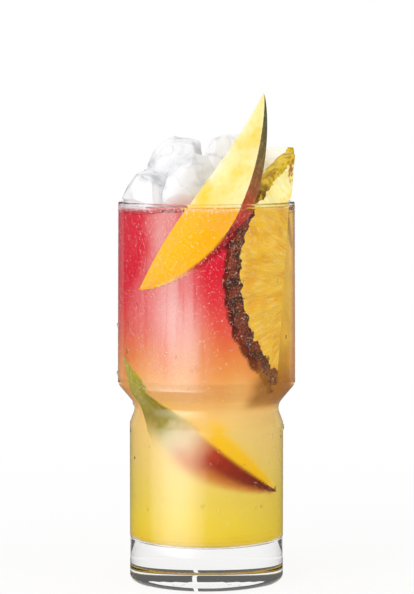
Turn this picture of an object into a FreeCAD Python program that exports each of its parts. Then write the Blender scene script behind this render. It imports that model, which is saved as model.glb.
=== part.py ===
"""Bay breeze in a stacking highball glass, with mango slices, pineapple slices and ice.

Frame: millimetres, +Z up. The origin is the centre of the foot, on the surface the glass
stands on. -Y is the front of the drink. The glass is a solid of revolution about Z. The
drink fills it to just under the rim and is cut round everything that stands in it.
"""

import FreeCAD
import Part
import math
import os

from FreeCAD import Vector

# ---------------------------------------------------------------- driving dimensions, mm
# Glass: a narrow lower barrel, a waist, and a wider upper barrel that stacks on another.
GLASS_HEIGHT = 167.5
FOOT_INNER_RADIUS = 26.0
LOWER_RADIUS = 33.8
WAIST_RADIUS = 31.0  # where the two straight flanks of the waist would meet
SHOULDER_RADIUS = 39.1
RIM_RADIUS = 38.7
LOWER_TOP_Z = 70.2
WAIST_Z = 77.8
SHOULDER_Z = 87.4
WALL = 2.7
RIM_WALL = 2.0
BASE_THICKNESS = 18.6
BASE_DISH = 0.9  # how much the inside of the base dips at its centre
PUNT_DEPTH = 2.6  # how far the underside is hollowed

FOOT_FILLET = 2.8
BARREL_FILLET = 5.0
WAIST_FILLET = 6.0
SHOULDER_FILLET = 4.0
RIM_FILLET = 0.9
INNER_BASE_FILLET = 3.5

# Drink
LEVEL_BELOW_RIM = 2.3
LEVEL = GLASS_HEIGHT - LEVEL_BELOW_RIM

# Mango slice that leans on the front of the rim, cut face forward.
TOP_MANGO = {
    "first_tip": Vector(-27.8, -22.6, 130.6),
    "last_tip": Vector(24.2, -34.0, 214.8),
    "facing": Vector(0.08, -1.0, 0.0),
    "face_width": 17.4,
    "edge_bulge": 2.2,
    "edge_sway": 1.2,
    "skin_lean": 3.6,
    "thickness": 11.5,
    "bow": 6.0,
    "skin_bulge": 2.4,
    "fullness": 0.80,
    "skew": 0.84,
}
# Mango slice that lies sunk across the waist, skin forward.
LOW_MANGO = {
    "first_tip": Vector(-34.4, -9.6, 96.2),
    "last_tip": Vector(28.9, -10.0, 39.8),
    "facing": Vector(0.474, -0.69, 0.542),
    "face_width": 7.5,
    "edge_bulge": 7.7,
    "edge_sway": 0.0,
    "skin_lean": 9.9,
    "thickness": 16.1,
    "bow": 3.7,
    "skin_bulge": 4.4,
    "fullness": 0.95,
    "skew": 1.20,
}
MANGO_STATIONS = 9
MANGO_FACE_CROWN = 0.35  # how far a cut face swells

# Pineapple. The front slice is a segment with its straight cut along the right-hand wall. The
# back slice is a cored quarter, from nearer the crown of the fruit, hung from a level cut.
SCALE_PITCH = 8.0  # length of one scale of the rind along the edge of the slice
SCALE_HEIGHT = 1.5
EYE_RADIUS = 1.5
EYE_INSET = 5.5
FRONT_RADIUS = 60.0
FRONT_CUT = 33.0  # distance of the straight cut from the centre of the fruit
FRONT_THICKNESS = 7.5
FRONT_TURN = 42.0  # degrees about Z, from facing -Y
FRONT_LEAN = 6.0  # degrees, the top leans towards the wall
FRONT_CENTRE = Vector(58.1, 8.2, 135.0)
BACK_RADIUS = 45.5
BACK_CORE = 12.0  # radius of the tough core, cut away
BACK_SPAN = 78.0  # degrees
BACK_THICKNESS = 9.0
BACK_TURN = 2.0
BACK_CENTRE = Vector(-8.0, 0.6, 191.0)

# Ice: centre, edge lengths, (yaw, pitch, roll) in degrees and share that the top tapers to.
ICE_FILLET = 0.24  # of the shortest edge
ICE_DIMPLE = 0.08  # depth of the hollow in the top, of the shortest edge
ICE = [
    (Vector(-6.5, -13.0, 174.0), (27, 23, 27), (10, 10, -6), 0.84),
    (Vector(-25.0, -13.0, 167.5), (23, 26, 25), (34, -8, 10), 0.80),
    (Vector(-13.5, 2.5, 182.0), (24, 21, 25), (-20, 16, 12), 0.72),
    (Vector(9.0, -7.5, 182.5), (22, 15, 25), (20, -12, -6), 0.80),
    (Vector(-21.5, 20.0, 168.0), (25, 24, 25), (20, 10, -12), 0.84),
    (Vector(3.0, 23.5, 172.0), (26, 20, 26), (-8, -8, 10), 0.86),
    (Vector(23.0, 20.5, 167.5), (19, 17, 22), (40, 6, 8), 0.84),
]

# How far from the axis a piece may lean over the rim.
REACH_OVER_RIM = 38.6
MANGO_REACH = 44.0
HEADROOM = 60.0

PARTS_FOLDER = "parts"
Z_AXIS = Vector(0, 0, 1)


# ---------------------------------------------------------------- profiles of revolution
def rounded_outline(corners):
    """Edges through (radius, height, fillet) corners, each corner turned by a tangent arc."""
    points = [Vector(r, 0, z) for r, z, _ in corners]
    edges = []
    start = points[0]
    for i in range(1, len(points) - 1):
        fillet = corners[i][2]
        if fillet == 0:
            edges.append(Part.makeLine(start, points[i]))
            start = points[i]
            continue
        back = (points[i - 1] - points[i]).normalize()
        ahead = (points[i + 1] - points[i]).normalize()
        half = math.acos(max(-1.0, min(1.0, back.dot(ahead)))) / 2
        reach = fillet / math.tan(half)
        first = points[i] + back * reach
        last = points[i] + ahead * reach
        bisector = (back + ahead).normalize()
        crown = points[i] + bisector * (fillet / math.sin(half) - fillet)
        edges.append(Part.makeLine(start, first))
        edges.append(Part.Arc(first, crown, last).toShape())
        start = last
    edges.append(Part.makeLine(start, points[-1]))
    return edges


def offset_corner(before, corner, after, wall):
    """The corner where the two flanks meet once each has moved towards the axis by wall."""

    def moved(a, b):
        along = Vector(b[0] - a[0], 0, b[1] - a[1]).normalize()
        inward = Vector(-along.z, 0, along.x)
        return Vector(a[0], 0, a[1]) + inward * wall, along

    p, u = moved(before, corner)
    q, v = moved(corner, after)
    gap = q - p
    step = (gap.x * v.z - gap.z * v.x) / (u.x * v.z - u.z * v.x)
    met = p + u * step
    return met.x, met.z


OUTER_FOOT = (LOWER_RADIUS, 0.0)
OUTER_LOWER = (LOWER_RADIUS, LOWER_TOP_Z)
OUTER_WAIST = (WAIST_RADIUS, WAIST_Z)
OUTER_SHOULDER = (SHOULDER_RADIUS, SHOULDER_Z)
OUTER_RIM = (RIM_RADIUS, GLASS_HEIGHT)

INNER_RIM = (RIM_RADIUS - RIM_WALL, GLASS_HEIGHT)
INNER_SHOULDER = offset_corner(OUTER_WAIST, OUTER_SHOULDER, OUTER_RIM, WALL)
INNER_WAIST = offset_corner(OUTER_LOWER, OUTER_WAIST, OUTER_SHOULDER, WALL)
INNER_LOWER = offset_corner(OUTER_FOOT, OUTER_LOWER, OUTER_WAIST, WALL)
INNER_BASE = (INNER_LOWER[0], BASE_THICKNESS)


def inner_wall(top):
    """Edges of the inside of the glass, from the axis out over the base and up to the top corners."""
    corners = [
        (0.0, BASE_THICKNESS - BASE_DISH, 0.0),
        (*INNER_BASE, INNER_BASE_FILLET),
        (*INNER_LOWER, BARREL_FILLET),
        (*INNER_WAIST, WAIST_FILLET + WALL),
        (*INNER_SHOULDER, SHOULDER_FILLET),
    ]
    return rounded_outline(corners + top)


def revolved(edges):
    face = Part.Face(Part.Wire(edges))
    return face.revolve(Vector(0, 0, 0), Z_AXIS, 360)


def glass():
    """Heavy base with a hollowed underside, waist, shoulder and rounded rim, in one piece."""
    inside = inner_wall([(*INNER_RIM, RIM_FILLET), (*OUTER_RIM, 0.0)])[:-1]
    rim_top = inside[-1].Vertexes[-1].Point
    outside = rounded_outline(
        [
            (rim_top.x, rim_top.z, 0.0),
            (*OUTER_RIM, RIM_FILLET),
            (*OUTER_SHOULDER, SHOULDER_FILLET),
            (*OUTER_WAIST, WAIST_FILLET),
            (*OUTER_LOWER, BARREL_FILLET),
            (*OUTER_FOOT, FOOT_FILLET),
            (FOOT_INNER_RADIUS, 0.0, 0.0),
        ]
    )
    foot_edge = Vector(FOOT_INNER_RADIUS, 0, 0)
    punt_top = Vector(0, 0, PUNT_DEPTH)
    dome_radius = (FOOT_INNER_RADIUS**2 + PUNT_DEPTH**2) / (2 * PUNT_DEPTH)
    half_way = FOOT_INNER_RADIUS / 2
    punt_side = Vector(half_way, 0, PUNT_DEPTH - dome_radius + math.sqrt(dome_radius**2 - half_way**2))
    punt = Part.Arc(foot_edge, punt_side, punt_top).toShape()
    axis = Part.makeLine(punt_top, Vector(0, 0, BASE_THICKNESS - BASE_DISH))
    return revolved([axis] + inside + outside + [punt])


def filling(top):
    """Everything inside the glass, closed by the (radius, height, fillet) corners in top."""
    wall = inner_wall(top + [(0.0, top[-1][1], 0.0)])
    axis = Part.makeLine(Vector(0, 0, top[-1][1]), Vector(0, 0, BASE_THICKNESS - BASE_DISH))
    return revolved(wall + [axis])


def drink_body():
    """The inside of the glass up to the level of the drink."""
    share = (LEVEL - INNER_SHOULDER[1]) / (GLASS_HEIGHT - INNER_SHOULDER[1])
    radius = INNER_SHOULDER[0] + (INNER_RIM[0] - INNER_SHOULDER[0]) * share
    return filling([(radius, LEVEL, 0.0)])


def room(reach):
    """Where the fruit and the ice may be: inside the glass, and over its rim as far as reach."""
    over = [(reach, GLASS_HEIGHT, 0.0), (reach, GLASS_HEIGHT + HEADROOM, 0.0)]
    return filling([(*INNER_RIM, RIM_FILLET)] + over)


# ---------------------------------------------------------------- mango
def mango_slice(
    first_tip, last_tip, facing, face_width, edge_bulge, edge_sway, skin_lean, thickness, bow, skin_bulge,
    fullness, skew,
):
    """A wedge of mango cheek: a half-moon cut face, a second cut face behind, skin on the round side.

    The cut faces meet along a sharp edge that runs from tip to tip. facing is the way the
    first cut face looks, and the slice is bowed towards that side. fullness below 1 makes the
    tips blunter. skew below 1 puts the widest place nearer to the first tip.
    """
    chord = last_tip - first_tip
    along = Vector(chord).normalize()
    across = along.cross(facing).normalize()
    out = across.cross(along).normalize()
    sections = []
    for i in range(1, MANGO_STATIONS + 1):
        share = i / (MANGO_STATIONS + 1)
        arch = math.sin(math.pi * share)
        swell = math.sin(math.pi * share**skew) ** fullness
        centre = first_tip + chord * share + out * (bow * arch)
        sharp = centre - across * (edge_bulge * arch + edge_sway * math.sin(2 * math.pi * share))
        front = centre + across * (face_width * swell)
        back = front + across * (skin_lean * swell) - out * (thickness * swell)
        face_crown = (sharp + front) * 0.5 + out * (MANGO_FACE_CROWN * swell)
        skin_way = (front - back).cross(along).normalize()
        if skin_way.dot(across) < 0:
            skin_way = skin_way * -1
        skin_crown = (front + back) * 0.5 + skin_way * (skin_bulge * swell)
        sections.append(
            Part.Wire(
                [
                    Part.Arc(sharp, face_crown, front).toShape(),
                    Part.Arc(front, skin_crown, back).toShape(),
                    Part.makeLine(back, sharp),
                ]
            )
        )
    return Part.makeLoft([Part.Vertex(first_tip)] + sections + [Part.Vertex(last_tip)], True, False)


# ---------------------------------------------------------------- pineapple
def scaled_rind(radius, first, last):
    """Arcs from angle first to last, in degrees, one for each scale of the rind."""
    span = math.radians(last - first)
    count = max(2, round(abs(span) * radius / SCALE_PITCH))

    def at(share, height):
        turn = math.radians(first) + span * share
        return Vector((radius + height) * math.cos(turn), 0, (radius + height) * math.sin(turn))

    arcs = []
    for i in range(count):
        height = SCALE_HEIGHT * (0.75 + 0.25 * math.cos(2.4 * i))
        start, crown, end = at(i / count, 0), at((i + 0.6) / count, height), at((i + 1) / count, 0)
        arcs.append(Part.Arc(start, crown, end).toShape())
    return arcs


def eyes(radius, first, last, thickness):
    """Pits that the cut-away scales leave just inside the rind, on both faces."""
    span = last - first
    count = max(2, round(math.radians(abs(span)) * radius / (2 * SCALE_PITCH)))
    pits = []
    for i in range(count):
        turn = math.radians(first + span * (i + 0.5) / count)
        inset = radius - EYE_INSET - 1.5 * math.cos(2.0 * i)
        for y in (0.0, thickness):
            where = Vector(inset * math.cos(turn), y, inset * math.sin(turn))
            pits.append(Part.makeSphere(EYE_RADIUS, where))
    return pits


def placed(slice_, turn, lean, centre):
    slice_.rotate(Vector(0, 0, 0), Vector(0, 1, 0), lean)
    slice_.rotate(Vector(0, 0, 0), Z_AXIS, turn)
    slice_.translate(centre)
    return slice_


def front_slice():
    """A segment of a slice, cut straight to one side of the core."""
    half = math.degrees(math.acos(FRONT_CUT / FRONT_RADIUS))
    first, last = 180 - half, 180 + half
    rind = scaled_rind(FRONT_RADIUS, first, last)
    cut = Part.makeLine(rind[-1].Vertexes[-1].Point, rind[0].Vertexes[0].Point)
    slice_ = Part.Face(Part.Wire(rind + [cut])).extrude(Vector(0, FRONT_THICKNESS, 0))
    slice_ = slice_.cut(eyes(FRONT_RADIUS, first, last, FRONT_THICKNESS))
    return placed(slice_, FRONT_TURN, FRONT_LEAN, FRONT_CENTRE)


def back_slice():
    """A quarter of a slice hung from a level cut, with the core cut away."""
    rind = scaled_rind(BACK_RADIUS, 0, -BACK_SPAN)
    far = math.radians(BACK_SPAN)
    core_side = Vector(math.cos(far), 0, -math.sin(far)) * BACK_CORE
    core_mid = Vector(math.cos(far / 2), 0, -math.sin(far / 2)) * BACK_CORE
    core_top = Vector(BACK_CORE, 0, 0)
    outline = rind + [
        Part.makeLine(rind[-1].Vertexes[-1].Point, core_side),
        Part.Arc(core_side, core_mid, core_top).toShape(),
        Part.makeLine(core_top, rind[0].Vertexes[0].Point),
    ]
    slice_ = Part.Face(Part.Wire(outline)).extrude(Vector(0, BACK_THICKNESS, 0))
    slice_ = slice_.cut(eyes(BACK_RADIUS, 0, -BACK_SPAN, BACK_THICKNESS))
    return placed(slice_, BACK_TURN, 0.0, BACK_CENTRE)


# ---------------------------------------------------------------- ice
def ice_block(centre, edges, turns, taper):
    """A tapered cube with melted edges and the hollow that freezing leaves in its top."""
    length, width, height = edges
    inset_x, inset_y = length * (1 - taper) / 2, width * (1 - taper) / 2
    block = Part.makeWedge(
        0, 0, 0, inset_y, inset_x, length, height, width, width - inset_y, length - inset_x
    )
    block.translate(Vector(-length / 2, -height / 2, -width / 2))
    block.rotate(Vector(0, 0, 0), Vector(1, 0, 0), 90)
    shortest = min(edges)
    block = block.makeFillet(ICE_FILLET * shortest, block.Edges)
    dimple_radius = shortest * 0.8
    sink = dimple_radius - ICE_DIMPLE * shortest
    block = block.cut(Part.makeSphere(dimple_radius, Vector(0, 0, height / 2 + sink)))
    yaw, pitch, roll = turns
    block.rotate(Vector(0, 0, 0), Vector(1, 0, 0), roll)
    block.rotate(Vector(0, 0, 0), Vector(0, 1, 0), pitch)
    block.rotate(Vector(0, 0, 0), Z_AXIS, yaw)
    block.translate(centre)
    return block


# ---------------------------------------------------------------- assembly
def one_solid(shape, name):
    """The single solid of a shape. Slivers that a cut leaves loose are dropped."""
    solids = sorted(shape.Solids, key=lambda s: s.Volume)
    kept = solids[-1]
    loose = sum(s.Volume for s in solids[:-1])
    if loose > 0.02 * kept.Volume:
        print(f"{name}: loose pieces of {loose:.1f} mm3 are dropped")
    return kept


def build():
    """Every piece by its node name, each cut clear of the ones before it."""
    wanted = {
        "mango_top": mango_slice(**TOP_MANGO),
        "mango_low": mango_slice(**LOW_MANGO),
        "pineapple_front": front_slice(),
        "pineapple_back": back_slice(),
    }
    wanted.update({f"ice_{i + 1}": ice_block(*row) for i, row in enumerate(ICE)})
    pieces = {"glass": glass()}
    inside, inside_or_over = room(REACH_OVER_RIM), room(MANGO_REACH)
    for name, shape in wanted.items():
        seated = shape.common(inside_or_over if name == "mango_top" else inside)
        near = [s for s in list(pieces.values())[1:] if s.BoundBox.intersect(seated.BoundBox)]
        pieces[name] = one_solid(seated.cut(near) if near else seated, name)
        print(f"{name}: {100 * (1 - pieces[name].Volume / shape.Volume):.1f}% cut away to seat it")
    fruit_and_ice = list(pieces.values())[1:]
    pieces["drink"] = one_solid(drink_body().cut(fruit_and_ice), "drink")
    return pieces


def main():
    os.makedirs(PARTS_FOLDER, exist_ok=True)
    for name, shape in build().items():
        shape.exportStep(os.path.join(PARTS_FOLDER, name + ".step"))
        box = shape.BoundBox
        print(
            f"{name:16s} {shape.Volume / 1000:8.2f} cm3  valid {shape.isValid()}"
            f"  x {box.XMin:6.1f} {box.XMax:6.1f}  y {box.YMin:6.1f} {box.YMax:6.1f}"
            f"  z {box.ZMin:6.1f} {box.ZMax:6.1f}"
        )


main()
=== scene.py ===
# %% [markdown]
# # Bay breeze in a waisted highball
# A tall glass with a heavy base, a waist and a wider upper barrel holds a drink that fades from
# cranberry red to pineapple gold. A mango slice leans on the front of the rim, another lies sunk
# across the waist, two pineapple slices stand on the right and ice is heaped above the rim. The
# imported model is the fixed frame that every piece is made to.

# %% Open the frame
import bpy
import bmesh
import math
import numpy as np
from mathutils import Matrix, Vector, noise
from mathutils.bvhtree import BVHTree
from mathutils.kdtree import KDTree


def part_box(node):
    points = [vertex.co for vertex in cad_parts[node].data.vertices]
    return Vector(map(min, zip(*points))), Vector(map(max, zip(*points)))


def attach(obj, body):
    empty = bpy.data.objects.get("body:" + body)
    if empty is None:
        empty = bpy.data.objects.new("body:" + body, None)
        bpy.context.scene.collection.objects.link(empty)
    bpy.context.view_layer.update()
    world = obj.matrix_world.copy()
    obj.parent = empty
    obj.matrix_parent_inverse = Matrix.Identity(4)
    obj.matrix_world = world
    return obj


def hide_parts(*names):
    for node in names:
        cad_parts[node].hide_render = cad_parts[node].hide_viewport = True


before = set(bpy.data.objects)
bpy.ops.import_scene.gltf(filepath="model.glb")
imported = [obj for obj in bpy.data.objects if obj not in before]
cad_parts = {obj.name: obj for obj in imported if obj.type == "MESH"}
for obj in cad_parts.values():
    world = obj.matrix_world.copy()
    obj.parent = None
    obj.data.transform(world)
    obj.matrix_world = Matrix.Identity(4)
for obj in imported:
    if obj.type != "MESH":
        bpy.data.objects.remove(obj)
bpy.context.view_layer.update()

# %% [markdown]
# ## Sizes
# Everything is in metres. The glass gives the driving sizes: its height and its widest radius come
# from the frame, and the radii of the waist and the lower barrel, the wall and the fillets are those
# of the solid model. The drink stands a little under the rim.

# %% Driving sizes
MM = 0.001
_, glass_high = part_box("glass")
GLASS_HEIGHT = glass_high.z
SHOULDER_RADIUS = glass_high.x
LOWER_RADIUS = 33.8 * MM
WAIST_RADIUS = 31.0 * MM
RIM_RADIUS = SHOULDER_RADIUS - 0.4 * MM
FOOT_INNER_RADIUS = 26.0 * MM
LOWER_TOP = 70.2 * MM
WAIST = 77.8 * MM
SHOULDER = 87.4 * MM
WALL = 2.7 * MM
RIM_WALL = 2.0 * MM
BASE_THICKNESS = 18.6 * MM
BASE_DISH = 0.9 * MM
PUNT_DEPTH = 2.6 * MM
FOOT_FILLET = 2.8 * MM
BARREL_FILLET = 5.0 * MM
WAIST_FILLET = 6.0 * MM
SHOULDER_FILLET = 4.0 * MM
RIM_FILLET = 0.9 * MM
INNER_BASE_FILLET = 3.5 * MM
LEVEL = GLASS_HEIGHT - 2.3 * MM
GLASS_IOR, DRINK_IOR, WATER_IOR, ICE_IOR, FRUIT_IOR = 1.5, 1.34, 1.33, 1.31, 1.38
WHITE = (1.0, 1.0, 1.0, 1.0)
print(f"glass {GLASS_HEIGHT / MM:.1f} mm high, {2 * SHOULDER_RADIUS / MM:.1f} mm across")
print(f"the drink's level is at {LEVEL / MM:.1f} mm")

# %% [markdown]
# ## Helpers for nodes
# A colour is written as it looks on a screen and turned into the linear light that shaders use.
# Placing a node, filling its sockets and linking it is one call, and the sums, ranges, mixes and
# noises that come back all the time have a short name each. New groups and materials start empty.


# %% Node helpers
def paint(red, green, blue):
    """Linear RGBA of a screen colour given as 0 to 255."""
    shares = [c / 255 for c in (red, green, blue)]
    return (*[s / 12.92 if s <= 0.04045 else ((s + 0.055) / 1.055) ** 2.4 for s in shares], 1.0)


def add(tree, kind, inputs=None, **settings):
    """A new node. Each input is filled with a value, or linked if it is a socket."""
    made = tree.nodes.new(kind)
    for key, value in settings.items():
        setattr(made, key, value)
    for key, value in (inputs or {}).items():
        if isinstance(value, bpy.types.NodeSocket):
            tree.links.new(value, made.inputs[key])
        else:
            made.inputs[key].default_value = value
    return made


def first(tree, kind, inputs=None, **settings):
    """The first output of a new node."""
    return add(tree, kind, inputs, **settings).outputs[0]


def maths(tree, operation, *values, **settings):
    return first(tree, "ShaderNodeMath", dict(enumerate(values)), operation=operation, **settings)


def ranged(tree, value, low, high, to_low=0.0, to_high=1.0, **settings):
    """The value's place between low and high, moved to between to_low and to_high."""
    spans = {"Value": value, "From Min": low, "From Max": high, "To Min": to_low, "To Max": to_high}
    return first(tree, "ShaderNodeMapRange", spans, **settings)


def tinted(tree, share, start, end):
    """A colour between two, by share."""
    return add(tree, "ShaderNodeMix", {0: share, 6: start, 7: end}, data_type="RGBA").outputs[2]


def grained(tree, place, scale, detail, roughness=0.5, stretch=None):
    """Noise from 0 to 1, drawn out along the axes whose stretch is small."""
    if stretch:
        place = first(tree, "ShaderNodeMapping", {"Vector": place, "Scale": stretch})
    sockets = {"Vector": place, "Scale": scale, "Detail": detail, "Roughness": roughness}
    return first(tree, "ShaderNodeTexNoise", sockets)


def bumped(tree, height, strength, distance):
    return first(tree, "ShaderNodeBump", {"Height": height, "Strength": strength, "Distance": distance})


def attribute(tree, name, output="Fac"):
    """What the mesh stores under a name, read as a value, a colour or a vector."""
    return add(tree, "ShaderNodeAttribute", attribute_name=name, attribute_type="GEOMETRY").outputs[output]


def object_place(tree):
    return add(tree, "ShaderNodeTexCoord").outputs["Object"]


def any_ray(tree, *kinds):
    """1 for rays of these kinds, and 0 for all others."""
    path = add(tree, "ShaderNodeLightPath").outputs
    found = path[f"Is {kinds[0]} Ray"]
    for kind in kinds[1:]:
        found = maths(tree, "MAXIMUM", found, path[f"Is {kind} Ray"])
    return found


def show(tree, shader, kind="ShaderNodeOutputMaterial"):
    add(tree, kind, {"Surface": shader})


def new_material(name):
    material = bpy.data.materials.new(name)
    material.use_nodes = True
    material.node_tree.nodes.clear()
    return material, material.node_tree


def new_group(name, kind, inputs, outputs):
    """An empty group with named sockets, the sockets inside it and the keys that a modifier uses."""
    tree = bpy.data.node_groups.new(name, kind)
    keys = {}
    for way, sockets in (("INPUT", inputs), ("OUTPUT", outputs)):
        for title, socket in sockets.items():
            made = tree.interface.new_socket(title, in_out=way, socket_type=f"NodeSocket{socket}")
            keys[title] = made.identifier
    return tree, add(tree, "NodeGroupInput").outputs, keys


# %% [markdown]
# ## Helpers for meshes
# Every piece starts as points and faces at their true places. Numbers, vectors and colours can be
# stored with the points, for the material to read. A finished piece is hung on the frame.


# %% Mesh helpers
LAYER_FIELDS = {"FLOAT": ("value", 1), "FLOAT_VECTOR": ("vector", 3), "FLOAT_COLOR": ("color", 4)}


def thing_from(name, points, faces, material=None):
    """A new object in the scene."""
    mesh = bpy.data.meshes.new(name)
    mesh.from_pydata([tuple(p) for p in points], [], [tuple(f) for f in faces])
    thing = bpy.data.objects.new(name, mesh)
    bpy.context.scene.collection.objects.link(thing)
    if material:
        mesh.materials.append(material)
    return thing


def turn_outward(mesh):
    """Merges doubles, points every face outward and shades it smooth."""
    work = bmesh.new()
    work.from_mesh(mesh)
    bmesh.ops.remove_doubles(work, verts=work.verts, dist=1e-8)
    bmesh.ops.recalc_face_normals(work, faces=work.faces)
    for face in work.faces:
        face.smooth = True
    work.to_mesh(mesh)
    work.free()


def run_group(piece, group, keys, values):
    """Runs a Geometry Nodes group on the piece and keeps what it makes as plain mesh."""
    modifier = piece.modifiers.new(group.name, "NODES")
    modifier.node_group = group
    for title, value in values.items():
        modifier[keys[title]] = value
    seen = piece.evaluated_get(bpy.context.evaluated_depsgraph_get())
    mesh = bpy.data.meshes.new_from_object(seen)
    piece.modifiers.clear()
    piece.data = mesh


def finish_shape(tree, shape, material):
    """Ends a Geometry Nodes tree: real mesh, shaded smooth, with its material."""
    real = first(tree, "GeometryNodeRealizeInstances", {0: shape})
    smooth = first(tree, "GeometryNodeSetShadeSmooth", {"Geometry": real})
    dressed = first(tree, "GeometryNodeSetMaterial", {"Geometry": smooth, "Material": material})
    add(tree, "NodeGroupOutput", {0: dressed})


def hang(piece, slot_name, *nodes):
    """The finished piece rides with the glass and stands for its CAD nodes. slot_name is not used."""
    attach(piece, "root")
    if nodes:
        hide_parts(*nodes)
    print(f"{piece.name}: {sum(len(p.vertices) - 2 for p in piece.data.polygons)} triangles")


def points_of(piece):
    """The piece's vertices as an array."""
    places = np.zeros(len(piece.data.vertices) * 3)
    piece.data.vertices.foreach_get("co", places)
    return places.reshape(-1, 3)


def store(piece, name, kind, values):
    """Keeps a number, a vector or a colour for each point, under a name."""
    home = piece.data.color_attributes if kind == "FLOAT_COLOR" else piece.data.attributes
    field, _ = LAYER_FIELDS[kind]
    home.new(name, kind, "POINT").data.foreach_set(field, np.asarray(values, np.float32).ravel())


def store_colour(piece, name, colours):
    opaque = np.ones((len(colours), 1))
    store(piece, name, "FLOAT_COLOR", np.concatenate([np.clip(colours, 0, 1), opaque], 1))


def stored(piece, name):
    """What is kept under a name, with a row for each point."""
    layer = piece.data.attributes[name]
    field, width = LAYER_FIELDS[layer.data_type]
    values = np.zeros(len(layer.data) * width)
    layer.data.foreach_get(field, values)
    return values.reshape(-1, width)


# %% [markdown]
# ## The outline of the glass
# A glass is blown or pressed in a turned mould, so one outline, spun about the axis, gives the whole
# of it. The outline is a short list of corners, each with its own fillet. Straight runs are divided
# into short steps, so that smooth shading doesn't bend the light along a long face.


# %% Rounded outlines
def unit(v):
    return v / np.linalg.norm(v)


def rounded(corners, step=2.5 * MM, arc_step=math.radians(6)):
    """Points along (radius, height, fillet) corners, with arcs at the corners."""
    marks = [np.array(c[:2], float) for c in corners]
    line = [marks[0]]

    def run_to(end):
        start, gap = line[-1], np.linalg.norm(end - line[-1])
        if gap < 1e-7:
            return
        edge = min(0.3 * MM, gap / 4) / gap
        count = max(1, int(gap / step))
        shares = [edge, *[i / count for i in range(1, count)], 1 - edge, 1.0]
        line.extend(start + (end - start) * s for s in sorted(shares))

    for i in range(1, len(marks) - 1):
        fillet = corners[i][2]
        if fillet == 0:
            run_to(marks[i])
            continue
        back, ahead = unit(marks[i - 1] - marks[i]), unit(marks[i + 1] - marks[i])
        half = math.acos(np.clip(back @ ahead, -1, 1)) / 2
        start = marks[i] + back * fillet / math.tan(half)
        end = marks[i] + ahead * fillet / math.tan(half)
        centre = marks[i] + unit(back + ahead) * fillet / math.sin(half)
        run_to(start)
        sweep = math.pi - 2 * half
        count = max(2, round(sweep / arc_step))
        for j in range(1, count + 1):
            left, done = math.sin((1 - j / count) * sweep), math.sin(j / count * sweep)
            line.append(centre + ((start - centre) * left + (end - centre) * done) / math.sin(sweep))
    run_to(marks[-1])
    return np.array(line)


def offset_corner(before, corner, after, wall):
    """Where the two flanks of an outline meet once each has moved towards the axis by wall."""
    before, corner, after = (np.array(p, float) for p in (before, corner, after))
    u, v = unit(corner - before), unit(after - corner)
    p = before + np.array([-u[1], u[0]]) * wall
    q = corner + np.array([-v[1], v[0]]) * wall
    gap = q - p
    share = (gap[0] * v[1] - gap[1] * v[0]) / (u[0] * v[1] - u[1] * v[0])
    return tuple(p + u * share)


OUTER_FOOT, OUTER_LOWER = (LOWER_RADIUS, 0.0), (LOWER_RADIUS, LOWER_TOP)
OUTER_WAIST, OUTER_SHOULDER = (WAIST_RADIUS, WAIST), (SHOULDER_RADIUS, SHOULDER)
OUTER_RIM = (RIM_RADIUS, GLASS_HEIGHT)
WALL_AT_RIM = RIM_RADIUS - RIM_WALL


def inner_corners(gap, base_gap=None):
    """Corners of a line that follows the inside of the glass, gap further in than the wall's face."""
    depth = WALL + gap
    base = BASE_THICKNESS + (gap if base_gap is None else base_gap)
    lower = offset_corner(OUTER_FOOT, OUTER_LOWER, OUTER_WAIST, depth)
    waist = offset_corner(OUTER_LOWER, OUTER_WAIST, OUTER_SHOULDER, depth)
    shoulder = offset_corner(OUTER_WAIST, OUTER_SHOULDER, OUTER_RIM, depth)
    return [
        (0.0, base - BASE_DISH, 0.0),
        (lower[0], base, max(INNER_BASE_FILLET - gap, 1.0 * MM)),
        (*lower, max(BARREL_FILLET - gap, 2.0 * MM)),
        (*waist, WAIST_FILLET + depth),
        (*shoulder, max(SHOULDER_FILLET - gap, 2.0 * MM)),
    ]


inner_line = rounded(inner_corners(0.0) + [(WALL_AT_RIM, GLASS_HEIGHT, 0.0), (0.0, GLASS_HEIGHT, 0.0)])
inner_side = inner_line[(inner_line[:, 0] > 20 * MM) & (inner_line[:, 1] > BASE_THICKNESS + 3 * MM)]


def wall_radius(z):
    """Radius of the inside of the glass at a height."""
    return np.interp(z, inner_side[:, 1], inner_side[:, 0])


dome_radius = (FOOT_INNER_RADIUS**2 + PUNT_DEPTH**2) / (2 * PUNT_DEPTH)
punt_line = [
    (r, PUNT_DEPTH - dome_radius + math.sqrt(dome_radius**2 - r**2), 0.0)
    for r in np.linspace(FOOT_INNER_RADIUS, 0.0, 12)
]
glass_line = rounded(
    inner_corners(0.0)
    + [(WALL_AT_RIM, GLASS_HEIGHT, RIM_FILLET), (*OUTER_RIM, RIM_FILLET)]
    + [(*OUTER_SHOULDER, SHOULDER_FILLET), (*OUTER_WAIST, WAIST_FILLET)]
    + [(*OUTER_LOWER, BARREL_FILLET), (*OUTER_FOOT, FOOT_FILLET)]
    + punt_line
)
print(f"glass outline: {len(glass_line)} points")
print(f"inside radius at the waist: {wall_radius(WAIST) / MM:.1f} mm")


# %% [markdown]
# ## A lathe in Geometry Nodes
# The spin follows a rule, so nodes make it: a grid has one row for each turn and one column for each
# point of the outline, and every grid point is moved to its outline point, turned about Z.


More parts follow.
